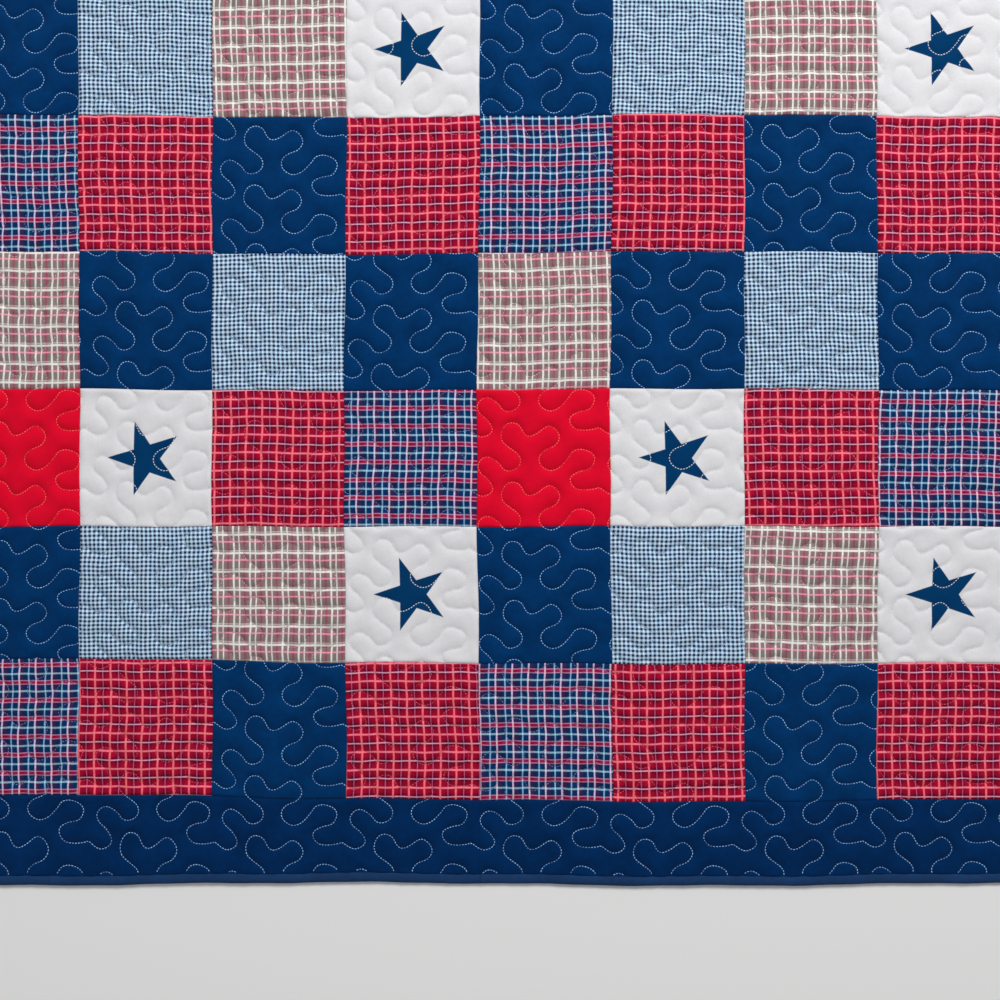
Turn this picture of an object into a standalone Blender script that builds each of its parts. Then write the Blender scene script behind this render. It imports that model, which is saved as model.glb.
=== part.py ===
"""Star quilt blanket, lying flat: a patchwork panel, four border strips and a rounded binding,
all raised by one pattern of meander quilting."""

import math

import bmesh
import bpy
from mathutils import Vector
from mathutils.geometry import delaunay_2d_cdt
from mathutils.kdtree import KDTree

# Driving dimensions, in metres
PATCH_WIDTH = 0.178
PATCH_HEIGHT = 0.183
PATCH_COLUMNS = 8
PATCH_ROWS = 9
BORDER_WIDTH = 0.100
BINDING_WIDTH = 0.012
BINDING_HEIGHT = 0.0062
CORNER_RADIUS = 0.060
GAP = 0.0003

# Thickness of the quilted cloth: at a stitched line, at a sewn edge, and added on top of a puff
STITCH_HEIGHT = 0.0020
EDGE_HEIGHT = 0.0030
PUFF_HEIGHT = 0.0040
PUFF_REACH = 0.014
SWELL_HEIGHT = 0.0012

# The quilting: one sewn row repeats across the cloth, and the rows repeat down it
STITCH_PERIOD = 0.1735
STITCH_ROW_PITCH = 0.0794
STITCH_START_X = -0.3570
STITCH_START_Y = -0.7609

# Turning points of one period of a sewn row, in millimetres: along the row, and up from its middle
STITCH_TURNS_MM = (
    # along, up
    (0, -44),
    (31, -40),
    (16, -4),
    (54, -17),
    (66, 3),
    (44, 32),
    (61, 47),
    (82, 29),
    (104, 42),
    (119, 22),
    (94, 0),
    (113, -18),
    (146, 9),
    (165, -7),
    (136, -29),
    (152, -45),
)

# How finely the top faces are divided
EDGE_STEP = 0.034
PUFF_SEARCH_STEP = 0.003
PUFF_SPACING = 0.023
PUFF_CLEARANCE = 0.0075
EDGE_CLEARANCE = 0.008
DISTANCE_STEP = 0.005
BINDING_STEP = 0.075
CORNER_STEPS = 5
SHARP_ANGLE = math.radians(50)

# What the triangulation keeps, and how near two points may be before they are one
INSIDE_ONLY = 1
MERGE_DISTANCE = 1e-6

# The slow sideways drift of the sewn edges: amount, and waves in a metre
DRIFT = 0.0022
DRIFT_WAVES_PER_METRE = 1.05

# Section of the folded binding: share of its width outwards, and share of its height
BINDING_SECTION = (
    # out, up
    (0.00, 0.00),
    (0.82, 0.00),
    (1.00, 0.28),
    (0.95, 0.74),
    (0.66, 1.00),
    (0.28, 0.96),
    (0.00, 0.62),
)

PANEL_HALF_WIDTH = PATCH_COLUMNS * PATCH_WIDTH / 2
PANEL_HALF_HEIGHT = PATCH_ROWS * PATCH_HEIGHT / 2
EDGE_HALF_WIDTH = PANEL_HALF_WIDTH + BORDER_WIDTH
EDGE_HALF_HEIGHT = PANEL_HALF_HEIGHT + BORDER_WIDTH

# Colour (linear red, green, blue) and roughness of each finish
FINISHES = {
    "patched_cotton": ((0.26, 0.11, 0.15), 0.90),
    "navy_cotton": ((0.004, 0.021, 0.082), 0.88),
    "navy_binding": ((0.009, 0.036, 0.110), 0.86),
}


def clear_scene():
    for obj in list(bpy.data.objects):
        bpy.data.objects.remove(obj, do_unlink=True)


def make_material(name, finish):
    colour, roughness = FINISHES[finish]
    material = bpy.data.materials.new(name)
    material.use_nodes = True
    shader = material.node_tree.nodes["Principled BSDF"]
    shader.inputs["Base Color"].default_value = (*colour, 1.0)
    shader.inputs["Roughness"].default_value = roughness
    shader.inputs["Metallic"].default_value = 0.0
    return material


def drifted(x, y):
    """Where a point of the flat plan lies once the cloth has been sewn, washed and laid down."""
    turn = 2 * math.pi * DRIFT_WAVES_PER_METRE
    return (
        x + DRIFT * math.sin(turn * y + 0.7) * math.cos(0.6 * turn * x),
        y + DRIFT * math.sin(turn * x - 0.4) * math.cos(0.5 * turn * y),
    )


def swell(x, y):
    """The slow rise and fall of cloth that lies loosely."""
    wave = math.sin(8.3 * x + 2.1 * y + 0.6) * math.sin(6.1 * y - 1.7 * x + 1.1)
    return SWELL_HEIGHT * (1 + wave) / 2


def stitched_rows():
    """Each sewn row as its turning points, running past both sides of the cloth."""
    first_row = math.floor((-EDGE_HALF_HEIGHT - STITCH_START_Y) / STITCH_ROW_PITCH) - 1
    last_row = math.ceil((EDGE_HALF_HEIGHT - STITCH_START_Y) / STITCH_ROW_PITCH) + 1
    first_period = math.floor((-EDGE_HALF_WIDTH - STITCH_START_X) / STITCH_PERIOD) - 1
    last_period = math.ceil((EDGE_HALF_WIDTH - STITCH_START_X) / STITCH_PERIOD) + 1
    rows = []
    for row in range(first_row, last_row):
        middle = STITCH_START_Y + row * STITCH_ROW_PITCH
        rows.append([
            (STITCH_START_X + period * STITCH_PERIOD + along / 1000, middle + up / 1000)
            for period in range(first_period, last_period)
            for along, up in STITCH_TURNS_MM
        ])
    return rows


def stitch_distance_tree(rows):
    """Points close together along every sewn row, to measure how far a place is from its nearest stitch."""
    points = []
    for row in rows:
        for start, end in zip(row, row[1:]):
            start, end = Vector((*start, 0)), Vector((*end, 0))
            steps = max(1, math.ceil((end - start).length / DISTANCE_STEP))
            points += [start.lerp(end, step / steps) for step in range(steps)]
    tree = KDTree(len(points))
    for index, point in enumerate(points):
        tree.insert(point, index)
    tree.balance()
    return tree


def puff_tops(tree):
    """The high points between the sewn rows: found over one period of one row, then repeated with it."""
    places = []
    for line in range(round(STITCH_ROW_PITCH / PUFF_SEARCH_STEP)):
        for place in range(round(STITCH_PERIOD / PUFF_SEARCH_STEP)):
            x = STITCH_START_X + place * PUFF_SEARCH_STEP
            y = STITCH_START_Y + line * PUFF_SEARCH_STEP
            places.append((tree.find((x, y, 0))[2], x, y))
    chosen = []
    for distance, x, y in sorted(places, reverse=True):
        if distance < PUFF_CLEARANCE:
            break
        if all(math.hypot(*wrapped(x - near_x, y - near_y)) > PUFF_SPACING for near_x, near_y in chosen):
            chosen.append((x, y))
    rows = math.ceil(2 * EDGE_HALF_HEIGHT / STITCH_ROW_PITCH) + 2
    periods = math.ceil(2 * EDGE_HALF_WIDTH / STITCH_PERIOD) + 2
    return [
        (x + period * STITCH_PERIOD, y + row * STITCH_ROW_PITCH)
        for row in range(-rows, rows)
        for period in range(-periods, periods)
        for x, y in chosen
    ]


def wrapped(across, up):
    """The shortest step between two places of a pattern that repeats both ways."""
    across -= STITCH_PERIOD * round(across / STITCH_PERIOD)
    up -= STITCH_ROW_PITCH * round(up / STITCH_ROW_PITCH)
    return across, up


def rounded_outline(left, right, low, high, radii):
    """A rectangle's outline, anticlockwise from its lower left corner, with a radius at each corner."""
    corners = ((left, low, 180), (right, low, 270), (right, high, 0), (left, high, 90))
    outline = []
    for (x, y, heading), radius in zip(corners, radii):
        centre_x = x + radius if x == left else x - radius
        centre_y = y + radius if y == low else y - radius
        steps = CORNER_STEPS if radius else 0
        for step in range(steps + 1):
            angle = math.radians(heading + 90 * step / max(1, steps))
            outline.append((centre_x + radius * math.cos(angle), centre_y + radius * math.sin(angle)))
    return outline


def divided(outline, longest):
    """The same closed outline with no side longer than the given length."""
    points = []
    for start, end in zip(outline, outline[1:] + outline[:1]):
        steps = max(1, math.ceil(math.dist(start, end) / longest))
        for step in range(steps):
            share = step / steps
            x = start[0] + (end[0] - start[0]) * share
            y = start[1] + (end[1] - start[1]) * share
            points.append((x, y))
    return points


def depth_inside(point, left, right, low, high, radii):
    """How far inside a rounded rectangle a point lies, negative outside it."""
    x, y = point
    depth = min(x - left, right - x, y - low, high - y)
    for corner_x, corner_y, radius in zip((left, right, right, left), (low, low, high, high), radii):
        beside_x = radius - abs(x - corner_x)
        beside_y = radius - abs(y - corner_y)
        if depth > 0 and beside_x > 0 and beside_y > 0:
            depth = min(depth, radius - math.hypot(beside_x, beside_y))
    return depth


def clipped(start, end, start_depth, end_depth):
    """The stretch of a stitched run that lies inside a cut of cloth, or nothing."""
    if max(start_depth, end_depth) <= 0:
        return []
    ends = []
    for near, far, near_depth, far_depth in (
        (start, end, start_depth, end_depth),
        (end, start, end_depth, start_depth),
    ):
        share = max(0, -near_depth) / (far_depth - near_depth) if near_depth < 0 else 0
        ends.append((near[0] + (far[0] - near[0]) * share, near[1] + (far[1] - near[1]) * share))
    return ends


def new_object(name, bm, finish, collection):
    """A mesh object with its origin at the middle of its foot, smooth but for stitched lines and rims."""
    xs = [vertex.co.x for vertex in bm.verts]
    ys = [vertex.co.y for vertex in bm.verts]
    foot = Vector(((min(xs) + max(xs)) / 2, (min(ys) + max(ys)) / 2, 0))
    bmesh.ops.translate(bm, verts=bm.verts, vec=-foot)
    bmesh.ops.recalc_face_normals(bm, faces=bm.faces)
    for face in bm.faces:
        face.smooth = True
    for edge in bm.edges:
        if edge.calc_face_angle(0) > SHARP_ANGLE:
            edge.smooth = False
    mesh = bpy.data.meshes.new(name)
    bm.to_mesh(mesh)
    bm.free()
    mesh.materials.append(make_material(name + "_cloth", finish))
    obj = bpy.data.objects.new(name, mesh)
    obj.location = foot
    collection.objects.link(obj)
    return obj


def quilted_piece(name, bounds, radii, rows, tops, tree, finish, collection):
    """One flat cut of cloth with a level underside and the quilting raised in its top face."""
    outline = divided(rounded_outline(*bounds, radii), EDGE_STEP)
    points = list(outline)
    seams = []
    for row in rows:
        depths = [depth_inside(point, *bounds, radii) - EDGE_CLEARANCE for point in row]
        for index in range(len(row) - 1):
            ends = clipped(row[index], row[index + 1], depths[index], depths[index + 1])
            if ends:
                points += ends
                seams.append((len(points) - 2, len(points) - 1))
    points += [top for top in tops if depth_inside(top, *bounds, radii) > EDGE_CLEARANCE]

    boundary = [list(range(len(outline)))]
    flat, edges, faces, _, made_from, _ = delaunay_2d_cdt(
        [Vector(point) for point in points], seams, boundary, INSIDE_ONLY, MERGE_DISTANCE
    )
    bm = bmesh.new()
    for x, y in flat:
        if depth_inside((x, y), *bounds, radii) < EDGE_CLEARANCE / 2:
            height = EDGE_HEIGHT
        else:
            distance = tree.find((x, y, 0))[2]
            height = STITCH_HEIGHT + PUFF_HEIGHT * min(1, distance / PUFF_REACH) ** 0.5
        bm.verts.new((*drifted(x, y), height + swell(x, y)))
    bm.verts.ensure_lookup_table()
    for face in faces:
        bm.faces.new([bm.verts[index] for index in face])
    for (start, end), sources in zip(edges, made_from):
        if any(source < len(seams) for source in sources):
            bm.edges.get((bm.verts[start], bm.verts[end])).smooth = False

    rim = [edge for edge in bm.edges if edge.is_boundary]
    walls = bmesh.ops.extrude_edge_only(bm, edges=rim)["geom"]
    for vertex in (item for item in walls if isinstance(item, bmesh.types.BMVert)):
        vertex.co.z = 0
    foot = [item for item in walls if isinstance(item, bmesh.types.BMEdge) and item.is_boundary]
    bmesh.ops.holes_fill(bm, edges=foot, sides=0)
    return new_object(name, bm, finish, collection)


def binding_path(side):
    """The inner edge of one length of binding, from the middle of one corner to the middle of the next."""
    half_width = EDGE_HALF_WIDTH + GAP
    half_height = EDGE_HALF_HEIGHT + GAP
    radius = CORNER_RADIUS - BINDING_WIDTH + GAP
    corners = (
        (half_width, -half_height),
        (half_width, half_height),
        (-half_width, half_height),
        (-half_width, -half_height),
    )
    start, end = corners[side], corners[(side + 1) % 4]
    path = []
    for (x, y), first, last in ((start, -45, 0), (end, 0, 45)):
        centre = (x - math.copysign(radius, x), y - math.copysign(radius, y))
        for step in range(CORNER_STEPS):
            angle = math.radians(90 * side + first + (last - first) * step / (CORNER_STEPS - 1))
            out = (math.cos(angle), math.sin(angle))
            path.append((centre[0] + radius * out[0], centre[1] + radius * out[1], out))
    straight_start, straight_end = path[CORNER_STEPS - 1], path[CORNER_STEPS]
    steps = math.ceil(math.dist(straight_start[:2], straight_end[:2]) / BINDING_STEP)
    between = []
    for step in range(1, steps):
        share = step / steps
        x = straight_start[0] + (straight_end[0] - straight_start[0]) * share
        y = straight_start[1] + (straight_end[1] - straight_start[1]) * share
        between.append((x, y, straight_start[2]))
    return path[:CORNER_STEPS] + between + path[CORNER_STEPS:]


def binding_length(name, side, collection):
    """One length of folded binding: its section carried along the cloth's edge, ends closed."""
    bm = bmesh.new()
    rings = []
    path = binding_path(side)
    for index, (x, y, (out_x, out_y)) in enumerate(path):
        along = GAP / 2 * ((index == 0) - (index == len(path) - 1))
        x, y = x - out_y * along, y + out_x * along
        ring = []
        for out, up in BINDING_SECTION:
            reach = out * BINDING_WIDTH
            place = drifted(x + out_x * reach, y + out_y * reach)
            lift = swell(x, y) * up
            ring.append(bm.verts.new((*place, up * BINDING_HEIGHT + lift)))
        rings.append(ring)
    for near, far in zip(rings, rings[1:]):
        for index in range(len(BINDING_SECTION)):
            following = (index + 1) % len(BINDING_SECTION)
            bm.faces.new((near[index], near[following], far[following], far[index]))
    bm.faces.new(rings[0])
    bm.faces.new(list(reversed(rings[-1])))
    return new_object(name, bm, "navy_binding", collection)


def centre_on_origin(pieces):
    """Puts the middle of the whole quilt's foot at the origin."""
    bpy.context.view_layer.update()
    corners = [piece.matrix_world @ vertex.co for piece in pieces for vertex in piece.data.vertices]
    middle_x = (min(corner.x for corner in corners) + max(corner.x for corner in corners)) / 2
    middle_y = (min(corner.y for corner in corners) + max(corner.y for corner in corners)) / 2
    for piece in pieces:
        piece.location.x -= middle_x
        piece.location.y -= middle_y


def build_quilt():
    clear_scene()
    collection = bpy.data.collections.new("star_quilt_blanket")
    bpy.context.scene.collection.children.link(collection)
    rows = stitched_rows()
    tree = stitch_distance_tree(rows)
    tops = puff_tops(tree)

    inner_x, inner_y = PANEL_HALF_WIDTH, PANEL_HALF_HEIGHT
    outer_x, outer_y = EDGE_HALF_WIDTH, EDGE_HALF_HEIGHT
    radius = CORNER_RADIUS - BINDING_WIDTH
    square = (0, 0, 0, 0)
    foot_corners = (radius, radius, 0, 0)
    head_corners = (0, 0, radius, radius)
    cuts = {
        "patchwork": ((-inner_x, inner_x, -inner_y, inner_y), square, "patched_cotton"),
        "border_left": ((-outer_x, -inner_x - GAP, -inner_y, inner_y), square, "navy_cotton"),
        "border_right": ((inner_x + GAP, outer_x, -inner_y, inner_y), square, "navy_cotton"),
        "border_top": ((-outer_x, outer_x, inner_y + GAP, outer_y), head_corners, "navy_cotton"),
        "border_bottom": ((-outer_x, outer_x, -outer_y, -inner_y - GAP), foot_corners, "navy_cotton"),
    }
    pieces = []
    for name, (bounds, radii, finish) in cuts.items():
        pieces.append(quilted_piece(name, bounds, radii, rows, tops, tree, finish, collection))
    for side, name in enumerate(("binding_right", "binding_top", "binding_left", "binding_bottom")):
        pieces.append(binding_length(name, side, collection))
    centre_on_origin(pieces)


build_quilt()
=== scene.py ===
"""Dresses the star quilt blanket: printed and woven patches, navy borders, a folded binding and the
quilting thread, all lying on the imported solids."""

import math
from functools import cache

import bmesh
import bpy
import numpy as np
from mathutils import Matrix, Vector
from mathutils.geometry import delaunay_2d_cdt
from mathutils.kdtree import KDTree


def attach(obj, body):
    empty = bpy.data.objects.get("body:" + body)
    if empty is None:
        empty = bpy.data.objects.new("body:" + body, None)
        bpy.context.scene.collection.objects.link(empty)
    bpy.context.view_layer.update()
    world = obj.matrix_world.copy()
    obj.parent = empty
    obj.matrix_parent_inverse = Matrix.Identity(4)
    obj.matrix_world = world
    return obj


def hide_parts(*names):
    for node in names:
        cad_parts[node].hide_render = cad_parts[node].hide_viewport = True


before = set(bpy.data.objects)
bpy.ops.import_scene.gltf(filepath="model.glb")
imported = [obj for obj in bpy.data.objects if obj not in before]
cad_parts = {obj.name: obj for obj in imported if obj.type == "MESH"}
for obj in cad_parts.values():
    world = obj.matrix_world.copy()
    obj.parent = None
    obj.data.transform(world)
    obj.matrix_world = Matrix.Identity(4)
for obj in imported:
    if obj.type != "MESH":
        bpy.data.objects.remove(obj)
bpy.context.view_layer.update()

bl_info = {
    "name": "Star Quilt Blanket",
    "version": (1, 0, 0),
    "blender": (4, 5, 0),
    "location": "View3D > Sidebar > Quilt",
    "description": "Makes the patches, borders, binding and quilting of a flat patchwork quilt",
    "category": "Object",
}

ROOT = "root"

# The patches: how many, and the cloths of one repeat by row from the head and column from the left
PATCH_COLUMNS = 8
PATCH_ROWS = 9
PATCH_REPEAT = (
    ("blue_plaid", "red_plaid", "navy", "red_plaid"),
    ("taupe_plaid", "navy", "gingham", "navy"),
    ("red", "star", "red_plaid", "blue_plaid"),
    ("navy", "gingham", "taupe_plaid", "star"),
)
# Patches are cut off the thread by up to half this turn each way, and from anywhere in this much cloth
CUT_TURN_DEGREES = 2.4
CUT_START = (0.031, 0.027)

# The quilting: one sewn row repeats across the cloth from its start, and the rows repeat up it
STITCH_PERIOD = 0.1735
STITCH_ROW_PITCH = 0.0794
STITCH_START = (-0.3570, -0.7609)
# Steps of the curve from one turning point of a row to the next
CURVE_STEPS = 24
# Places asked about along a row, as a share of one stitch
STITCH_SAMPLE = 0.20
# How near the sewing comes to the binding, and a stitch's own point to a seam
BINDING_MARGIN = 0.0015
SEAM_MARGIN = 0.0006

# The cloth beside a stitch: half the width of its ditch, and how the filling thins towards a seam
DITCH_HALF = 0.0013
SEAM_REACH = 0.0045
SEAM_SHARE = 0.50
# How far the thread stands clear of its ditch
THREAD_LIFT = 0.00025
# The off-white cotton lies flatter over the filling than the others: its puffs' share, reached this far in
FLAT_SHARE = 0.60
FLAT_REACH = 0.014

# A row of points turns each seam down: how far in from it they lie, and how near to a corner they come
SEAM_ROLL = 0.0014
ROLL_CLEAR = 0.002
# How near a seam's even points may come to a place where stitches cross it
CROSSING_CLEAR = 0.0012
# Stretches of stitching shorter than this have no points beside them
SHORTEST_DITCH = 0.0015
# The least distance from a stitch, and from a seam, of the points beside them and of the open cloth's
DITCH_CLEAR = (0.0008, 0.0009)
OPEN_CLEAR = (0.0026, 0.0028)
# The height of an even triangle, as a share of its side
TRIANGLE_RISE = 0.866
# Steps of a rounded corner's arc, and how near to it the straight sides' points come
CORNER_STEPS = 16
CORNER_CLEAR = 0.0005
TOLERANCE = 1e-6
# What the triangulation keeps, and how near two points may be before they are one
INSIDE_ONLY = 1
MERGE_DISTANCE = 1e-6

# Turning points of one period of a sewn row, in millimetres: along the row, and up from its middle
STITCH_TURNS_MM = (
    (0.0, -42.5), (9.6, -49.0), (17.9, -51.4), (28.1, -47.2),
    (31.1, -39.5), (23.9, -28.1), (14.4, -19.7), (11.4, -9.6),
    (17.9, -0.6), (27.5, 0.6), (39.5, -7.2), (45.4, -14.9),
    (53.8, -17.3), (64.0, -13.2), (68.4, -4.8), (65.2, 4.8),
    (51.4, 15.5), (44.3, 22.7), (43.1, 33.5), (49.0, 44.0),
    (57.4, 47.2), (67.0, 43.7), (74.2, 31.7), (81.3, 28.7),
    (90.9, 32.3), (105.2, 41.3), (115.4, 37.1), (120.8, 26.3),
    (114.8, 15.5), (100.5, 9.0), (93.3, 0.0), (95.7, -10.8),
    (107.6, -17.9), (120.8, -13.8), (132.8, -1.2), (138.7, 6.6),
    (149.5, 9.0), (162.7, 4.2), (167.4, -4.8), (161.5, -16.7),
    (147.1, -20.6), (136.3, -26.3), (135.1, -34.7), (142.3, -43.1),
    (154.3, -45.1), (167.4, -44.0),
)

# The slow sideways drift of the sewn edges, as in the solids, and the finer waver of each seam.
# In this and every other wave of the cloth, the numbers beside x and y are radians in a metre.
DRIFT = 0.0022
DRIFT_WAVES_PER_METRE = 1.05
WAVER = 0.0008
# How much further up the lower left corner lies
LOWER_LEFT_LIFT = 0.0085
# How closely the outline is followed where its middle is sought
OUTLINE_CORNER_STEPS = 8
OUTLINE_SIDE_STEPS = 40
# How far the sewn rows stray: at the left, more at its foot, at the right's foot, and in small waves
STRAY_LEFT = 0.0035
STRAY_LEFT_FOOT = 0.0055
STRAY_RIGHT_FOOT = (0.0038, 0.0035)
STRAY_WAVES = (0.0006, 0.0012)
# How far the weave is pulled out of true in a patch, in a broad wave and in a narrow one
PULL = (0.0004, 0.00025)

# Small puckers all over, and the bend of a crease
CRINKLE_HEIGHT = 0.00016
CREASE_BEND = 0.006
# Soft creases that the cloth was folded or pressed with
CREASES = (
    # x, y, half_length, width, degrees, height
    (-0.451, -0.655, 0.160, 0.0055, 90, 0.0022),
    (-0.428, -0.858, 0.045, 0.0045, 90, -0.0028),
    (0.012, -0.862, 0.060, 0.006, 90, 0.0010),
    (0.089, -0.868, 0.050, 0.006, 90, -0.0009),
    (0.420, 0.310, 0.220, 0.008, 84, 0.0012),
    (-0.220, 0.480, 0.260, 0.008, 4, 0.0011),
    (0.560, -0.380, 0.180, 0.007, 95, 0.0010),
    (0.572, -0.112, 0.036, 0.0045, 90, 0.0012),
    (0.591, -0.117, 0.030, 0.0040, 87, -0.0011),
    (0.612, -0.113, 0.038, 0.0045, 92, 0.0012),
    (0.636, -0.117, 0.030, 0.0040, 90, 0.0010),
)

# Camera: straight above, framing the foot of the quilt as the photograph does
CAMERA_TARGET = (0.0290, -0.4220)
FIELD_WIDTH = 1.340
LENS_MM = 50.0
SENSOR_MM = 36.0

# Yarns across one repeat of each woven cloth. A stop is its place in the repeat, the yarn's colour and how
# far it floats, and the two stops of an even stripe share a line.
RED_PLAID = {
    "across_mm": 20.9,
    "down_mm": 23.8,
    "warp": (
        (0.000, "#ff7684", 1.0), (0.045, "#ff7684", 1.0),
        (0.075, "#b00a31", 0.0),
        (0.300, "#9c082a", 0.0),
        (0.400, "#680322", 0.0),
        (0.465, "#741343", 0.0),
        (0.485, "#d67aac", 0.3), (0.515, "#d67aac", 0.3),
        (0.535, "#741343", 0.0),
        (0.600, "#680322", 0.0),
        (0.700, "#9c082a", 0.0),
        (0.925, "#b00a31", 0.0),
        (0.955, "#ff7684", 1.0),
    ),
    "weft": (
        (0.000, "#ff8593", 0.95), (0.036, "#ff8593", 0.95),
        (0.062, "#b40a33", 0.0),
        (0.300, "#9e082b", 0.0),
        (0.390, "#520226", 0.0),
        (0.450, "#42042c", 0.0),
        (0.474, "#f6bccf", 0.5), (0.518, "#f6bccf", 0.5),
        (0.542, "#380432", 0.0),
        (0.620, "#520226", 0.0),
        (0.700, "#9e082b", 0.0),
        (0.934, "#b40a33", 0.0),
        (0.964, "#ff8593", 0.95),
    ),
}
BLUE_PLAID = {
    "across_mm": 21.8,
    "down_mm": 24.2,
    "warp": (
        (0.000, "#f4e0fa", 0.40), (0.035, "#f4e0fa", 0.40),
        (0.065, "#5e0539", 0.0),
        (0.230, "#520838", 0.0),
        (0.330, "#0a2457", 0.0),
        (0.530, "#033a68", 0.0),
        (0.553, "#b6e2ff", 0.10), (0.612, "#b6e2ff", 0.10),
        (0.635, "#033a68", 0.0),
        (0.800, "#063066", 0.0),
        (0.935, "#082655", 0.0),
        (0.965, "#f4e0fa", 0.40),
    ),
    "weft": (
        (0.000, "#bdeaff", 0.0), (0.036, "#bdeaff", 0.0),
        (0.062, "#02355f", 0.0),
        (0.355, "#062a5e", 0.0),
        (0.377, "#e29cbc", 0.30), (0.411, "#e29cbc", 0.30),
        (0.432, "#cc0030", 0.05), (0.568, "#cc0030", 0.05),
        (0.589, "#e29cbc", 0.30), (0.623, "#e29cbc", 0.30),
        (0.645, "#062a5e", 0.0),
        (0.938, "#02355f", 0.0),
        (0.964, "#bdeaff", 0.0),
    ),
}
TAUPE_PLAID = {
    "across_mm": 21.7,
    "down_mm": 24.8,
    "warp": (
        (0.000, "#f8f0ea", 0.9), (0.045, "#f8f0ea", 0.9),
        (0.075, "#86807a", 0.0), (0.290, "#86807a", 0.0),
        (0.318, "#f6ebe6", 0.8), (0.372, "#f6ebe6", 0.8),
        (0.400, "#8b7a78", 0.0),
        (0.580, "#93646e", 0.0),
        (0.625, "#a5204a", 0.2), (0.690, "#a5204a", 0.2),
        (0.735, "#93646e", 0.0),
        (0.930, "#86807a", 0.0),
        (0.958, "#f8f0ea", 0.9),
    ),
    "weft": (
        (0.000, "#f9f2ee", 0.9), (0.045, "#f9f2ee", 0.9),
        (0.075, "#88827c", 0.0),
        (0.115, "#e2d6d2", 0.3), (0.145, "#e2d6d2", 0.3),
        (0.175, "#88827c", 0.0),
        (0.480, "#8a7a78", 0.0),
        (0.560, "#a0707a", 0.0),
        (0.600, "#f7a6b6", 0.8), (0.650, "#f7a6b6", 0.8),
        (0.690, "#a0707a", 0.0),
        (0.930, "#94807e", 0.0),
        (0.958, "#f9f2ee", 0.9),
    ),
}
GINGHAM_YARNS = (
    (0.000, "#ceeafe", 0.0), (0.425, "#ceeafe", 0.0),
    (0.475, "#001f52", 0.0), (0.950, "#001f52", 0.0),
)
GINGHAM = {"across_mm": 5.83, "down_mm": 5.83, "warp": GINGHAM_YARNS, "weft": GINGHAM_YARNS}
# How much more of a fully floating yarn shows where it crosses the others
FLOAT_SHARE = 0.45

# Thread spacing in metres, coarser than real cotton's three to a millimetre, which is too fine to show
PLAIN_THREAD_PITCH = 0.0008
CHECK_THREAD_PITCH = 0.0010
# The spacing of the bands in a wave texture of scale 1, and how high the threads stand
WAVE_BAND = 0.314
THREAD_RELIEF = 0.0002
# Noise in a metre: slubs of 2.4 mm and yarns over or under for 1.4 mm, both drawn coarser so that they show
SLUBS = 420.0
OVER_AND_UNDER = 700.0
# Yarns stray from their straight lines over 26 mm, by about this much
STRAYING = 38.0
YARN_STRAY = 0.0011
# Uneven dye in patches of 45, 8 and 1 mm on plain cloth: patches in a metre, and share of the unevenness
PLAIN_DYE = (
    (22.0, 1.0),
    (130.0, 0.6),
    (900.0, 0.8),
)
# The same on yarn-dyed and on printed cloth, in patches of 4 and 3 mm
CHECK_DYE = 260.0
PRINT_DYE = 300.0
# A star's inner corners, as a share of its points' radius, and its edge's roughness and softness
STAR_WAIST = 0.382
STAR_EDGE_NOISE = 900.0
STAR_EDGE_ROUGH = 0.0008
STAR_EDGE_SOFT = (0.0002, 0.0010)

# Quilting thread as it shows on each cloth, from which it takes half its colour
THREAD_TINTS = {
    "blue_plaid": "#737ba8",
    "red_plaid": "#d8536c",
    "taupe_plaid": "#b9a5a2",
    "gingham": "#8ea9c4",
    "navy": "#8fbaf0",
    "red": "#ff6862",
    "star": "#dfdfe1",
}
# How much the tint varies by stitch and by place, and the share of that on off-white cotton
TINT_BY_STITCH = 0.22
TINT_BY_PLACE = 0.45
TINT_ON_STAR = 0.25

# The folded binding: spacing of its rings, width of one facet of its section, its pinches and its waver
BINDING_STEP = 0.005
BINDING_FACET = 0.0028
BINDING_PINCHES = (0.035, 0.03)
BINDING_WAVER = 0.02
# Section of the folded binding: share of its width outwards, and share of its height
BINDING_SECTION = (
    (-0.02, 0.02), (0.40, 0.00), (0.80, 0.00), (0.95, 0.12), (1.00, 0.32),
    (1.00, 0.55), (0.93, 0.78), (0.78, 0.94), (0.58, 1.00), (0.36, 0.99),
    (0.16, 0.91), (0.02, 0.76), (-0.04, 0.55),
)

# Soft lights, each turned to the middle of the picture
SOFTBOXES = (
    # name, place, size, watts
    ("key_softbox", (1.00, 2.55, 3.17), 1.35, 160),
    ("fill_softbox", (-2.4, -1.2, 2.4), 2.4, 9),
)
FLOOR_SIZE = 14
# Just under the quilt, so that the two never share a plane
FLOOR_HEIGHT = -0.0003


def linear(code):
    """An sRGB hex colour as linear red, green, blue and alpha."""
    channels = [int(code[start:start + 2], 16) / 255 for start in (1, 3, 5)]
    return [c / 12.92 if c <= 0.04045 else ((c + 0.055) / 1.055) ** 2.4 for c in channels] + [1.0]


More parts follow.
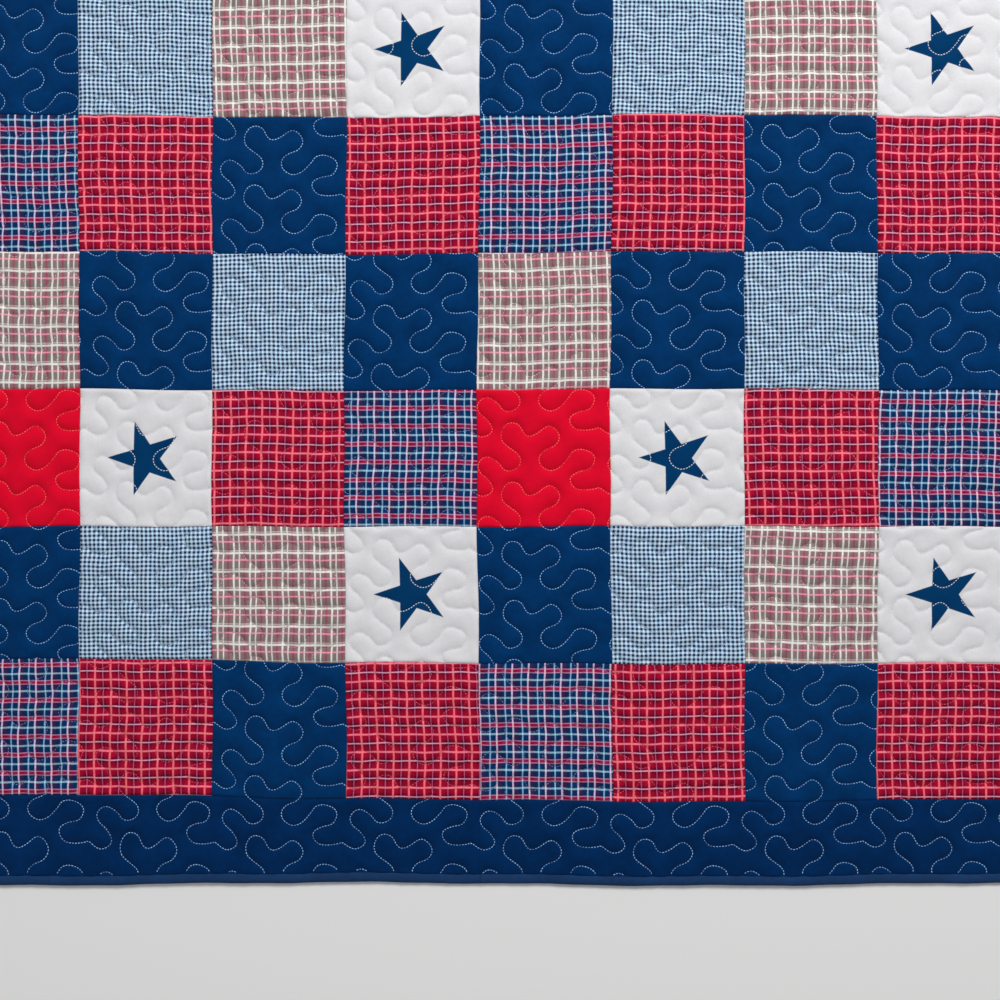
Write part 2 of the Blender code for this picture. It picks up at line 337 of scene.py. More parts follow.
class QuiltSizes(bpy.types.PropertyGroup):
    patch_width: bpy.props.FloatProperty(
        name="Patch width", description="Across one patch, seam to seam", default=0.178, unit="LENGTH")
    patch_height: bpy.props.FloatProperty(
        name="Patch height", description="Down one patch, seam to seam", default=0.183, unit="LENGTH")
    border_width: bpy.props.FloatProperty(
        name="Border width", description="From the patches to the binding", default=0.100, unit="LENGTH")
    binding_width: bpy.props.FloatProperty(
        name="Binding width", description="Across the folded edge strip", default=0.012, unit="LENGTH")
    binding_height: bpy.props.FloatProperty(
        name="Binding height", description="Thickness of the folded edge", default=0.0062, unit="LENGTH")
    corner_radius: bpy.props.FloatProperty(
        name="Corner radius", description="Outer radius of the corners", default=0.060, unit="LENGTH")
    stitch_height: bpy.props.FloatProperty(
        name="Stitched thickness", description="Thickness under a stitch", default=0.0020, unit="LENGTH")
    puff_height: bpy.props.FloatProperty(
        name="Puff height", description="Rise of the filling between stitches", default=0.0036,
        unit="LENGTH")
    puff_reach: bpy.props.FloatProperty(
        name="Puff reach", description="Distance that gives a puff two thirds of its rise", default=0.0046,
        unit="LENGTH")
    swell_height: bpy.props.FloatProperty(
        name="Swell height", description="Slow rise and fall of the cloth", default=0.0012, unit="LENGTH")
    top_step: bpy.props.FloatProperty(
        name="Seam step", description="Spacing of the cloth's points along a seam", default=0.0034,
        unit="LENGTH")
    open_step: bpy.props.FloatProperty(
        name="Open step", description="Spacing of the cloth's points away from stitches", default=0.0042,
        unit="LENGTH")
    stitch_pitch: bpy.props.FloatProperty(
        name="Stitch pitch", description="From one stitch to the next", default=0.0039, unit="LENGTH")
    stitch_length: bpy.props.FloatProperty(
        name="Stitch length", description="Thread that shows of one stitch", default=0.0023, unit="LENGTH")
    thread_width: bpy.props.FloatProperty(
        name="Thread width", description="Across the quilting thread", default=0.00098, unit="LENGTH")
    star_radius: bpy.props.FloatProperty(
        name="Star radius", description="Middle of the star to a point", default=0.051, unit="LENGTH")


class QuiltColours(bpy.types.PropertyGroup):
    navy: bpy.props.FloatVectorProperty(
        name="Navy", description="Plain patches", subtype="COLOR", size=4, default=linear("#003263"))
    # The border is the same navy cloth as the plain patches. Its darker colour is painted shade, for the
    # dimmer light at the quilt's foot
    border: bpy.props.FloatVectorProperty(
        name="Border", description="Plain border strips", subtype="COLOR", size=4, default=linear("#002a59"))
    binding: bpy.props.FloatVectorProperty(
        name="Binding", description="Folded edge strip", subtype="COLOR", size=4, default=linear("#1c3a63"))
    red: bpy.props.FloatVectorProperty(
        name="Red", description="Plain red patches", subtype="COLOR", size=4, default=linear("#e1092c"))
    white: bpy.props.FloatVectorProperty(
        name="Off-white", description="Ground of the star patches", subtype="COLOR", size=4,
        default=linear("#e2e1e3"))
    star: bpy.props.FloatVectorProperty(
        name="Star", description="Printed star", subtype="COLOR", size=4, default=linear("#003865"))


def sizes():
    """The quilt's sizes as the user has them."""
    return bpy.context.scene.quilt_sizes


def colours():
    """The plain colours as the user has them."""
    return bpy.context.scene.quilt_colours


def panel_half():
    """Half the width and height of the sewn patches."""
    return PATCH_COLUMNS * sizes().patch_width / 2, PATCH_ROWS * sizes().patch_height / 2


def edge_half():
    """Half the width and height inside the binding."""
    width, height = panel_half()
    return width + sizes().border_width, height + sizes().border_width


def edge_radius():
    """The cloth's own corner radius, inside the binding."""
    return sizes().corner_radius - sizes().binding_width


def drifted(x, y):
    """Where a point of the flat plan lies once the cloth has been sewn, washed and laid down."""
    turn = 2 * math.pi * DRIFT_WAVES_PER_METRE
    across = x + DRIFT * np.sin(turn * y + 0.7) * np.cos(0.6 * turn * x)
    down = y + DRIFT * np.sin(turn * x - 0.4) * np.cos(0.5 * turn * y)
    return across, down


def eased(value):
    """Rises smoothly from 0 to 1."""
    value = np.clip(value, 0, 1)
    return value * value * (3 - 2 * value)


def placed(x, y):
    """Plan to place: the solids' drift and centring, with the finer waver of each seam."""
    x, y = np.asarray(x, float), np.asarray(y, float)
    across, down = drifted(x, y)
    # The lift sets in 0.20 m left of the middle and 0.50 m below it, and is full at the edge
    lift = LOWER_LEFT_LIFT * eased((-0.20 - x) / 0.30) * eased((-0.50 - y) / 0.20)
    down = down + lift * eased((edge_half()[1] + y) / 0.07)
    across = across + WAVER * np.sin(31 * y + 5.3 * x + 0.4)
    down = down + WAVER * np.sin(27 * x - 4.1 * y + 1.9)
    shift_x, shift_y = plan_shift()
    return across - shift_x, down - shift_y


def outer_outline():
    """The binding's outer edge in plan, anticlockwise."""
    half_x, half_y = edge_half()
    half_x += sizes().binding_width
    half_y += sizes().binding_width
    radius = sizes().corner_radius
    points = []
    for corner, (sign_x, sign_y) in enumerate(((1, 1), (-1, 1), (-1, -1), (1, -1))):
        for step in range(OUTLINE_CORNER_STEPS + 1):
            angle = math.radians(90 * corner + 90 * step / OUTLINE_CORNER_STEPS)
            points.append((
                sign_x * (half_x - radius) + radius * math.cos(angle),
                sign_y * (half_y - radius) + radius * math.sin(angle),
            ))
    return points


@cache
def plan_shift():
    """How far the drifted outline's middle lies from the origin, where the solids were centred."""
    corners = outer_outline()
    count = OUTLINE_SIDE_STEPS
    dense = []
    for start, end in zip(corners, corners[1:] + corners[:1]):
        dense += [(start[0] + (end[0] - start[0]) * k / count, start[1] + (end[1] - start[1]) * k / count)
                  for k in range(count)]
    x, y = drifted(*np.array(dense).T)
    return (x.min() + x.max()) / 2, (y.min() + y.max()) / 2


def smooth_row():
    """One period of the sewn line as close, even points in metres, by a curve through its turning points."""
    turns = [Vector((along / 1000, up / 1000)) for along, up in STITCH_TURNS_MM]
    count = len(turns)
    step = Vector((STITCH_PERIOD, 0))
    dense = []
    for index in range(count):
        before = turns[index - 1] - (step if index == 0 else Vector((0, 0)))
        start = turns[index]
        end = turns[(index + 1) % count] + (step if index + 1 >= count else Vector((0, 0)))
        after = turns[(index + 2) % count] + (step if index + 2 >= count else Vector((0, 0)))
        for part in range(CURVE_STEPS):
            t = part / CURVE_STEPS
            dense.append(0.5 * (
                2 * start + (end - before) * t
                + (2 * before - 5 * start + 4 * end - after) * t * t
                + (3 * start - before - 3 * end + after) * t ** 3))
    dense.append(dense[0] + step)
    line = np.array(dense)
    reached = np.concatenate([[0], np.cumsum(np.hypot(*np.diff(line, axis=0).T))])
    return line, reached


def wandered(x, y):
    """The sewn rows' own slow wander over the cloth, most at its left and at its foot."""
    left, right = eased((-0.24 - x) / 0.30), eased((x - 0.15) / 0.30)
    foot = eased((-0.35 - y) / 0.45)
    across = x + left * (STRAY_LEFT + STRAY_LEFT_FOOT * foot) + STRAY_RIGHT_FOOT[0] * right * foot
    down = y + STRAY_RIGHT_FOOT[1] * right * foot
    return across + STRAY_WAVES[0] * np.sin(23 * y + 9 * x), down + STRAY_WAVES[1] * np.sin(11 * x + 5 * y)


def stitched_rows(spacing):
    """Every sewn row of the cloth, as plan points at an even spacing along the thread."""
    line, reached = smooth_row()
    half_x, half_y = edge_half()
    first = math.floor((-half_x - STITCH_START[0]) / STITCH_PERIOD) - 1
    last = math.ceil((half_x - STITCH_START[0]) / STITCH_PERIOD) + 1
    low = math.floor((-half_y - STITCH_START[1]) / STITCH_ROW_PITCH) - 1
    high = math.ceil((half_y - STITCH_START[1]) / STITCH_ROW_PITCH) + 1
    whole = reached[-1]
    places = np.arange(0, whole * (last - first), spacing)
    period = np.floor(places / whole)
    along = np.interp(places - period * whole, reached, line[:, 0]) + (first + period) * STITCH_PERIOD
    up = np.interp(places - period * whole, reached, line[:, 1])
    return [wandered(along + STITCH_START[0], up + STITCH_START[1] + row * STITCH_ROW_PITCH)
            for row in range(low, high)]


@cache
def sewn_rows():
    """The sewn rows with one point to a stitch, made once."""
    return stitched_rows(sizes().stitch_pitch)


@cache
def stitch_tree():
    """Every place on a sewn row, and a little beyond the cloth, for asking how near a stitch is."""
    half_x, half_y = edge_half()
    beyond = 0.02
    kept = []
    for x, y in sewn_rows():
        ends = np.arange(len(x))
        close = np.arange(0, len(x) - 1, STITCH_SAMPLE)
        x, y = np.interp(close, ends, x), np.interp(close, ends, y)
        inside = (np.abs(x) < half_x + beyond) & (np.abs(y) < half_y + beyond)
        kept += list(zip(x[inside].tolist(), y[inside].tolist()))
    tree = KDTree(len(kept))
    for index, (x, y) in enumerate(kept):
        tree.insert((x, y, 0), index)
    tree.balance()
    return tree


def stitch_distance(x, y):
    """How far each place of the plan lies from the nearest stitch."""
    find = stitch_tree().find
    return np.array([find((a, b, 0))[2] for a, b in zip(x.tolist(), y.tolist())])


def seam_distance(x, y):
    """How far a place of the plan lies from the nearest seam or from the binding."""
    panel_x, panel_y = panel_half()
    half_x, half_y = edge_half()
    on_panel = (np.abs(x) <= panel_x + TOLERANCE) & (np.abs(y) <= panel_y + TOLERANCE)
    columns = (x + panel_x) / sizes().patch_width
    rows = (y + panel_y) / sizes().patch_height
    patch_seam = np.minimum(np.abs(columns - np.round(columns)) * sizes().patch_width,
                            np.abs(rows - np.round(rows)) * sizes().patch_height)
    beside_x = np.where(np.abs(y) <= panel_y, np.abs(np.abs(x) - panel_x), 1.0)
    beside_y = np.abs(np.abs(y) - panel_y)
    outer = depth_inside(x, y, (-half_x, half_x, -half_y, half_y))
    return np.maximum(0, np.where(on_panel, patch_seam, np.minimum(np.minimum(beside_x, beside_y), outer)))


def depth_inside(x, y, bounds):
    """How far inside a cut of cloth a place lies, negative outside; the quilt's own corners are rounded."""
    left, right, low, high = bounds
    half_x, half_y = edge_half()
    radius = edge_radius()
    depth = np.minimum(np.minimum(x - left, right - x), np.minimum(y - low, high - y))
    over_x = np.abs(x) - (half_x - radius)
    over_y = np.abs(y) - (half_y - radius)
    corner = (over_x > 0) & (over_y > 0)
    return np.where(corner, np.minimum(depth, radius - np.hypot(over_x, over_y)), depth)


def swell(x, y):
    """The slow rise and fall of the whole cloth."""
    wave = np.sin(8.3 * x + 2.1 * y + 0.6) * np.sin(6.1 * y - 1.7 * x + 1.1)
    return sizes().swell_height * (1 + wave) / 2


def creases(x, y):
    """The soft creases, each a low ridge or furrow that bends a little and fades towards its ends."""
    total = np.zeros_like(x)
    for crease_x, crease_y, half_length, width, degrees, height in CREASES:
        turn = math.radians(degrees)
        along = (x - crease_x) * math.cos(turn) + (y - crease_y) * math.sin(turn)
        across = (y - crease_y) * math.cos(turn) - (x - crease_x) * math.sin(turn)
        bend = CREASE_BEND * np.sin(along * 17)
        fade = np.clip(1 - (along / half_length) ** 2, 0, 1)
        total += height * fade * np.exp(-((across + bend) / width) ** 2)
    return total


def crinkle(x, y):
    """Small uneven puckers of washed cotton."""
    return CRINKLE_HEIGHT * (
        np.sin(213 * x + 41 * y + 0.5) * np.sin(187 * y - 63 * x + 1.2)
        + np.sin(349 * x - 127 * y + 2.2) * np.sin(301 * y + 155 * x)
        + 0.9 * np.sin(97 * x + 131 * y) * np.sin(71 * x - 118 * y + 0.8)
    )


def cloth_height(x, y, distance, kind=None):
    """The top of the cloth at a distance from the nearest stitch: puffs, seams, swells and creases."""
    puff = sizes().puff_height * (1 - np.exp(-distance / sizes().puff_reach))
    seam = seam_distance(x, y)
    if kind == "star":
        puff = puff * (1 - (1 - FLAT_SHARE) * eased(seam / FLAT_REACH))
    near_seam = np.clip(seam / SEAM_REACH, 0, 1)
    drawn_in = SEAM_SHARE + (1 - SEAM_SHARE) * np.sqrt(1 - (1 - near_seam) ** 2)
    return sizes().stitch_height + puff * drawn_in + swell(x, y) + creases(x, y) + crinkle(x, y)


def node(tree, kind, inputs=None, **settings):
    """Adds a shader node, sets it up, and fills its inputs with values or with other nodes' outputs."""
    made = tree.nodes.new("ShaderNode" + kind)
    for name, value in settings.items():
        setattr(made, name, value)
    for socket, value in (inputs or {}).items():
        if isinstance(value, bpy.types.NodeSocket):
            tree.links.new(value, made.inputs[socket])
        else:
            made.inputs[socket].default_value = value
    return made


def cotton(name, roughness, sheen):
    """A bare matt fibre material, whose hairs give a little soft sheen and almost no shine."""
    material = bpy.data.materials.new(name)
    material.use_nodes = True
    shader = material.node_tree.nodes["Principled BSDF"]
    shader.inputs["Roughness"].default_value = roughness
    shader.inputs["Specular IOR Level"].default_value = 0.04
    shader.inputs["Sheen Weight"].default_value = sheen
    shader.inputs["Sheen Roughness"].default_value = 0.5
    return material, material.node_tree, shader


def cloth_place(tree):
    """The cloth's own coordinates in metres, which run with its threads."""
    return node(tree, "UVMap", uv_map="cloth").outputs["UV"]


def weave_bump(tree, place, shader, pitch, strength):
    """Raises crossing threads, at a pitch in metres that is coarser than real cotton so that they show."""
    across, down = [
        node(tree, "TexWave", {"Vector": place, "Scale": WAVE_BAND / pitch, "Distortion": 1.2,
                               "Detail": 1.0, "Detail Scale": 3.0}, bands_direction=direction)
        for direction in ("X", "Y")]
    threads = node(tree, "Math", {0: across.outputs["Fac"], 1: down.outputs["Fac"]}, operation="ADD")
    slubs = node(tree, "TexNoise", {"Vector": place, "Scale": SLUBS, "Detail": 3.0, "Roughness": 0.6})
    height = node(tree, "Math", {0: threads.outputs[0], 1: slubs.outputs["Fac"]}, operation="ADD")
    bump = node(tree, "Bump", {"Height": height.outputs[0], "Strength": strength, "Distance": THREAD_RELIEF})
    tree.links.new(bump.outputs["Normal"], shader.inputs["Normal"])


def mottled(tree, place, colour, amount, scale):
    """A colour whose depth varies softly, as dyed and washed cotton does."""
    broad = node(tree, "TexNoise", {"Vector": place, "Scale": scale, "Detail": 4.0, "Roughness": 0.55})
    factor = node(tree, "MapRange", {"Value": broad.outputs["Fac"], "From Min": 0.3, "From Max": 0.7,
                                     "To Min": 1 - amount, "To Max": 1 + amount})
    scaled = node(tree, "VectorMath", {0: colour, "Scale": factor.outputs["Result"]}, operation="SCALE")
    return scaled.outputs["Vector"]


def plain_cotton(name, colour, amount):
    """Plain-woven cotton, dyed in the piece and washed."""
    # To the eye: a deep matt colour, a little clouded, with threads that only just show
    material, tree, shader = cotton(name, roughness=0.88, sheen=0.03)
    place = cloth_place(tree)
    base = node(tree, "RGB")
    base.outputs[0].default_value = colour
    dyed = base.outputs[0]
    for patches, share in PLAIN_DYE:
        dyed = mottled(tree, place, dyed, amount * share, patches)
    tree.links.new(dyed, shader.inputs["Base Color"])
    weave_bump(tree, place, shader, PLAIN_THREAD_PITCH, 0.35)
    return material


def fill_ramp(ramp, stops):
    """Puts yarn colours and how far each yarn floats on a ramp, and closes the repeat with its first."""
    elements = ramp.color_ramp.elements
    while len(elements) > 1:
        elements.remove(elements[-1])
    for position, colour, float_share in (*stops, (1.0, *stops[0][1:])):
        element = elements[0] if position == 0 else elements.new(position)
        element.position = position
        element.color = (*linear(colour)[:3], float_share)


def yarn_stripes(tree, coordinate, repeat_mm, stops):
    """The colour of one set of yarns across the cloth, repeating."""
    repeats = node(tree, "Math", {0: coordinate, 1: 1000 / repeat_mm}, operation="MULTIPLY")
    place = node(tree, "Math", {0: repeats.outputs[0]}, operation="FRACT")
    ramp = node(tree, "ValToRGB", {"Fac": place.outputs[0]})
    fill_ramp(ramp, stops)
    return ramp


def woven_check(name, setts, amount):
    """Yarn-dyed cotton check: coloured warp and weft yarns, about half of each showing where they cross."""
    # To the eye: soft matt stripes that deepen where like colours cross, with pale yarns lying on top
    material, tree, shader = cotton(name, roughness=0.86, sheen=0.03)
    place = cloth_place(tree)
    wander = node(tree, "TexNoise", {"Vector": place, "Scale": STRAYING, "Detail": 2.0},
                  noise_dimensions="2D")
    centred = node(tree, "VectorMath", {0: wander.outputs["Color"], 1: (0.5, 0.5, 0.5)},
                   operation="SUBTRACT")
    drawn = node(tree, "VectorMath", {0: centred.outputs["Vector"], "Scale": YARN_STRAY}, operation="SCALE")
    moved = node(tree, "VectorMath", {0: place, 1: drawn.outputs["Vector"]}, operation="ADD")
    split = node(tree, "SeparateXYZ", {0: moved.outputs["Vector"]})
    warp = yarn_stripes(tree, split.outputs["X"], setts["across_mm"], setts["warp"])
    weft = yarn_stripes(tree, split.outputs["Y"], setts["down_mm"], setts["weft"])
    over = node(tree, "TexNoise", {"Vector": place, "Scale": OVER_AND_UNDER, "Detail": 1.0},
                noise_dimensions="2D")
    weave = node(tree, "MapRange", {"Value": over.outputs["Fac"], "From Min": 0.3, "From Max": 0.7,
                                    "To Min": 0.38, "To Max": 0.62})
    # A thick yarn floats over the finer ones that it crosses, so more of its colour shows
    floating = node(tree, "Math", {0: weft.outputs["Alpha"], 1: warp.outputs["Alpha"]}, operation="SUBTRACT")
    share = node(tree, "Math", {0: floating.outputs[0], 1: FLOAT_SHARE, 2: weave.outputs["Result"]},
                 operation="MULTIPLY_ADD", use_clamp=True)
    mixed = node(tree, "Mix", {0: share.outputs[0], 6: warp.outputs["Color"], 7: weft.outputs["Color"]},
                 data_type="RGBA")
    depth = mottled(tree, place, mixed.outputs[2], amount, CHECK_DYE)
    tree.links.new(depth, shader.inputs["Base Color"])
    weave_bump(tree, place, shader, CHECK_THREAD_PITCH, 0.45)
    return material


def printed_star(name):
    """Off-white plain-woven cotton with one five-pointed star printed at the middle of the patch."""
    # To the eye: a soft matt white, with flat ink whose edge is a little rough from the threads
    material, tree, shader = cotton(name, roughness=0.88, sheen=0.03)
    place = cloth_place(tree)
    outer = sizes().star_radius
    inner = outer * STAR_WAIST
    wave = math.radians(36)
    normal = Vector((inner * math.sin(wave), outer - inner * math.cos(wave)))
    reach = outer * inner * math.sin(wave) / normal.length
    normal.normalize()

    centre = node(tree, "UVMap", uv_map="star")
    ragged = node(tree, "TexNoise", {"Vector": place, "Scale": STAR_EDGE_NOISE, "Detail": 1.0})
    split = node(tree, "SeparateXYZ", {0: centre.outputs["UV"]})
    angle = node(tree, "Math", {0: split.outputs["Y"], 1: split.outputs["X"]}, operation="ARCTAN2")
    radius = node(tree, "VectorMath", {0: centre.outputs["UV"]}, operation="LENGTH")
    # Points lie at every fifth of a turn from straight left; folding the angle leaves half of one point
    turned = node(tree, "Math", {0: angle.outputs[0], 1: math.pi}, operation="SUBTRACT")
    folded = node(tree, "Math", {0: turned.outputs[0], 1: -wave, 2: wave}, operation="WRAP")
    half = node(tree, "Math", {0: folded.outputs[0]}, operation="ABSOLUTE")
    cosine = node(tree, "Math", {0: half.outputs[0]}, operation="COSINE")
    sine = node(tree, "Math", {0: half.outputs[0]}, operation="SINE")
    along = node(tree, "Math", {0: cosine.outputs[0], 1: normal.x}, operation="MULTIPLY")
    beside = node(tree, "Math", {0: sine.outputs[0], 1: normal.y, 2: along.outputs[0]},
                  operation="MULTIPLY_ADD")
    far = node(tree, "Math", {0: beside.outputs[0], 1: radius.outputs["Value"]}, operation="MULTIPLY")
    rough_edge = node(tree, "Math", {0: ragged.outputs["Fac"], 1: STAR_EDGE_ROUGH, 2: far.outputs[0]},
                      operation="MULTIPLY_ADD")
    mask = node(tree, "MapRange", {"Value": rough_edge.outputs[0], "From Min": reach + STAR_EDGE_SOFT[0],
                                   "From Max": reach + STAR_EDGE_SOFT[1], "To Min": 1.0, "To Max": 0.0})
    ground = node(tree, "RGB")
    ground.outputs[0].default_value = colours().white
    ink = node(tree, "RGB")
    ink.outputs[0].default_value = colours().star
    printed = node(tree, "Mix", {0: mask.outputs["Result"], 6: ground.outputs[0], 7: ink.outputs[0]},
                   data_type="RGBA")
    depth = mottled(tree, place, printed.outputs[2], 0.03, PRINT_DYE)
    tree.links.new(depth, shader.inputs["Base Color"])
    weave_bump(tree, place, shader, PLAIN_THREAD_PITCH, 0.30)
    return material


@cache
def fabric(kind):
    """The material of a cloth, made once."""
    checks = {
        # material, yarns, unevenness of the dye
        "red_plaid": ("yarn_dyed_red_plaid_cotton", RED_PLAID, 0.16),
        "blue_plaid": ("yarn_dyed_blue_plaid_cotton", BLUE_PLAID, 0.16),
        "taupe_plaid": ("yarn_dyed_taupe_plaid_cotton", TAUPE_PLAID, 0.08),
        "gingham": ("yarn_dyed_navy_gingham_cotton", GINGHAM, 0.06),
    }
    plains = {
        # material, colour, unevenness of the dye
        "red": ("plain_red_cotton", colours().red, 0.05),
        # The navy and border unevenness is partly uneven dye and partly painted shade: soft blotches
        # deepened to stand in for the puffs' shading
        "navy": ("plain_navy_cotton", colours().navy, 0.14),
        "border": ("navy_border_cotton_with_painted_shade", colours().border, 0.14),
        "binding": ("navy_binding_cotton", colours().binding, 0.12),
    }
    if kind in checks:
        return woven_check(*checks[kind])
    if kind in plains:
        return plain_cotton(*plains[kind])
    return printed_star("printed_off_white_cotton")


def patch_kind(column, row):
    """The cloth of the patch in a column from the left and a row from the head."""
    return PATCH_REPEAT[row % 4][column % 4]


def cut_turn(column, row):
    """How a patch was cut: a slight turn off the thread, and where in the cloth's repeat it starts."""
    # The far decimals of a large sine are as good as chance, and the same every time
    mark = math.sin(12.9898 * (column + 1) + 78.233 * (row + 1)) * 43758.5453
    share = mark - math.floor(mark)
    other = (share * 7.31) % 1
    return math.radians((share - 0.5) * CUT_TURN_DEGREES), share * CUT_START[0], other * CUT_START[1]


@cache
def seam_rulers():
    """Where points lie along the seams, so that neighbouring cuts share them."""
    rulers = []
    for panel, edge, count, patch in zip(panel_half(), edge_half(), (PATCH_COLUMNS, PATCH_ROWS),
                                         (sizes().patch_width, sizes().patch_height)):
        inner = np.linspace(-panel, panel, count * round(patch / sizes().top_step) + 1)
        outer = np.linspace(panel, edge, round((edge - panel) / sizes().top_step) + 1)[1:]
        rulers.append(np.concatenate([-outer[::-1], inner, outer]))
    return rulers


def leaving_point(start, end, sides):
    """Where the way from one stitch to the next first passes a side of a cut, if it passes one."""
    left, right, low, high = sides
    share, axis, side = min(
        ((limit - start[axis]) / (end[axis] - start[axis]), axis, limit)
        for axis, limit, past in ((0, left, end[0] < left), (0, right, end[0] > right),
                                  (1, low, end[1] < low), (1, high, end[1] > high),
                                  (0, end[0], True))
        if past and end[axis] != start[axis])
    point = [start[0] + (end[0] - start[0]) * share, start[1] + (end[1] - start[1]) * share]
    point[axis] = side
    return tuple(point) if share < 1 else None


def sewn_runs(bounds):
    """The runs of stitches inside a cut of cloth, ending on its seams or just short of the binding."""
    half_x, half_y = edge_half()
    left, right = max(bounds[0], -half_x + BINDING_MARGIN), min(bounds[1], half_x - BINDING_MARGIN)
    low, high = max(bounds[2], -half_y + BINDING_MARGIN), min(bounds[3], half_y - BINDING_MARGIN)
    sides = (left, right, low, high)
    runs = []
    for x, y in sewn_rows():
        depth = depth_inside(x, y, sides)
        inside = np.flatnonzero(depth > 0)
        for run in np.split(inside, np.flatnonzero(np.diff(inside) > 1) + 1):
            if not len(run):
                continue
            points = [(x[i], y[i]) for i in run if depth[i] > SEAM_MARGIN]
            for within, beyond, place in ((run[0], run[0] - 1, 0), (run[-1], run[-1] + 1, len(points))):
                if not 0 <= beyond < len(x):
                    continue
                point = leaving_point((x[within], y[within]), (x[beyond], y[beyond]), sides)
                if point:
                    points.insert(place, point)
            if len(points) > 1:
                runs.append(points)
    return runs


def cut_outline(bounds, crossings):
    """A cut's outline, anticlockwise, with a point wherever a run of stitches crosses a seam."""
    left, right, low, high = bounds
    half_x, half_y = edge_half()
    radius = edge_radius()
    rulers = seam_rulers()
    outline = []
    corners = ((left, low), (right, low), (right, high), (left, high))
    for index, (x, y) in enumerate(corners):
        next_x, next_y = corners[(index + 1) % 4]
        axis = index % 2
        if abs(abs(x) - half_x) < TOLERANCE and abs(abs(y) - half_y) < TOLERANCE:
            centre = (x - math.copysign(radius, x), y - math.copysign(radius, y))
            for step in range(CORNER_STEPS + 1):
                angle = math.radians(180 + 90 * index + 90 * step / CORNER_STEPS)
                outline.append((centre[0] + radius * math.cos(angle), centre[1] + radius * math.sin(angle)))
        else:
            outline.append((x, y))
        start, end = (x, y)[axis], (next_x, next_y)[axis]
        fixed = (y, x)[axis]
        on_side = [point[axis] for point in crossings if point[1 - axis] == fixed]
        limits = sorted((start, end))
        steps = [value for value in rulers[axis].tolist()
                 if all(abs(value - other) > CROSSING_CLEAR for other in on_side)]
        places = sorted((value for value in on_side + steps
                         if limits[0] + TOLERANCE < value < limits[1] - TOLERANCE), reverse=end < start)
        side = [(value, fixed) if axis == 0 else (fixed, value) for value in places]
        outline += [point for point in side
                    if depth_inside(*np.array(point), (-half_x, half_x, -half_y, half_y)) > -TOLERANCE
                    and not on_corner(*point)]
    return outline


def on_corner(x, y):
    """Whether a place is beside one of the quilt's rounded corners, on its straight sides."""
    half_x, half_y = edge_half()
    radius = edge_radius()
    return abs(x) > half_x - radius - CORNER_CLEAR and abs(y) > half_y - radius - CORNER_CLEAR


def ditch_points(runs):
    """Points on both sides of each stitch, where the walls of its ditch end."""
    beside = []
    for run in runs:
        ends = np.array(run)
        way = np.diff(ends, axis=0)
        length = np.hypot(*way.T)[:, None]
        across = np.column_stack([-way[:, 1], way[:, 0]]) / np.maximum(length, 1e-9) * DITCH_HALF
        wide = length[:, 0] > SHORTEST_DITCH
        middle = ((ends[1:] + ends[:-1]) / 2)[wide]
        beside += [middle + across[wide], middle - across[wide]]
    return beside


def seam_points(bounds):
    """A row of points just inside each side of a cut, from which it turns down to its seam."""
    left, right, low, high = bounds
    sides_x, sides_y = (left + SEAM_ROLL, right - SEAM_ROLL), (low + SEAM_ROLL, high - SEAM_ROLL)
    inner = [ruler[(ruler > start + ROLL_CLEAR) & (ruler < end - ROLL_CLEAR)]
             for ruler, start, end in zip(seam_rulers(), (left, low), (right, high))]
    along_x = np.concatenate([sides_x[:1], inner[0], sides_x[1:]])
    along_y = np.concatenate([sides_y[:1], inner[1], sides_y[1:]])
    return ([np.column_stack([along_x, np.full(len(along_x), y)]) for y in sides_y]
            + [np.column_stack([np.full(len(along_y), x), along_y]) for x in sides_x])


def open_points(bounds):
    """An even grid of triangles over a cut."""
    left, right, low, high = bounds
    step_x, step_y = sizes().open_step, sizes().open_step * TRIANGLE_RISE
    grid_x, grid_y = np.meshgrid(np.arange(left, right, step_x), np.arange(low, high, step_y))
    grid_x = grid_x + step_x / 2 * (np.arange(len(grid_x)) % 2)[:, None]
    return np.column_stack([grid_x.ravel(), grid_y.ravel()])


def cloth_plan(bounds):
    """Plan points of a cut's top face, their distances from a stitch, its sewn edges and its outline."""
    runs = sewn_runs(bounds)
    outline = cut_outline(bounds, [end for run in runs for end in (run[0], run[-1])])
    points = list(outline)
    number = {point: index for index, point in enumerate(points)}
    sewn = []
    for run in runs:
        indices = []
        for point in run:
            if point not in number:
                number[point] = len(points)
                points.append(point)
            indices.append(number[point])
        sewn += list(zip(indices, indices[1:]))
    on_stitch = np.zeros(len(points), bool)
    on_stitch[[index for pair in sewn for index in pair]] = True

    found, distances = [], []
    beside = np.concatenate(ditch_points(runs) + seam_points(bounds))
    for candidates, (clear, inside) in ((beside, DITCH_CLEAR), (open_points(bounds), OPEN_CLEAR)):
        kept = candidates[depth_inside(*candidates.T, bounds) > inside]
        away = stitch_distance(*kept.T)
        found.append(kept[away > clear])
        distances.append(away[away > clear])
    fixed = np.array(points)
    distance = np.where(on_stitch, 0.0, stitch_distance(*fixed.T))
    return np.concatenate([fixed, *found]), np.concatenate([distance, *distances]), sewn, len(outline)


def add_piece(name, mesh):
    """Puts a mesh into the scene as a piece that lies with the quilt."""
    piece = bpy.data.objects.new(name, mesh)
    bpy.context.scene.collection.objects.link(piece)
    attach(piece, ROOT)
    return piece


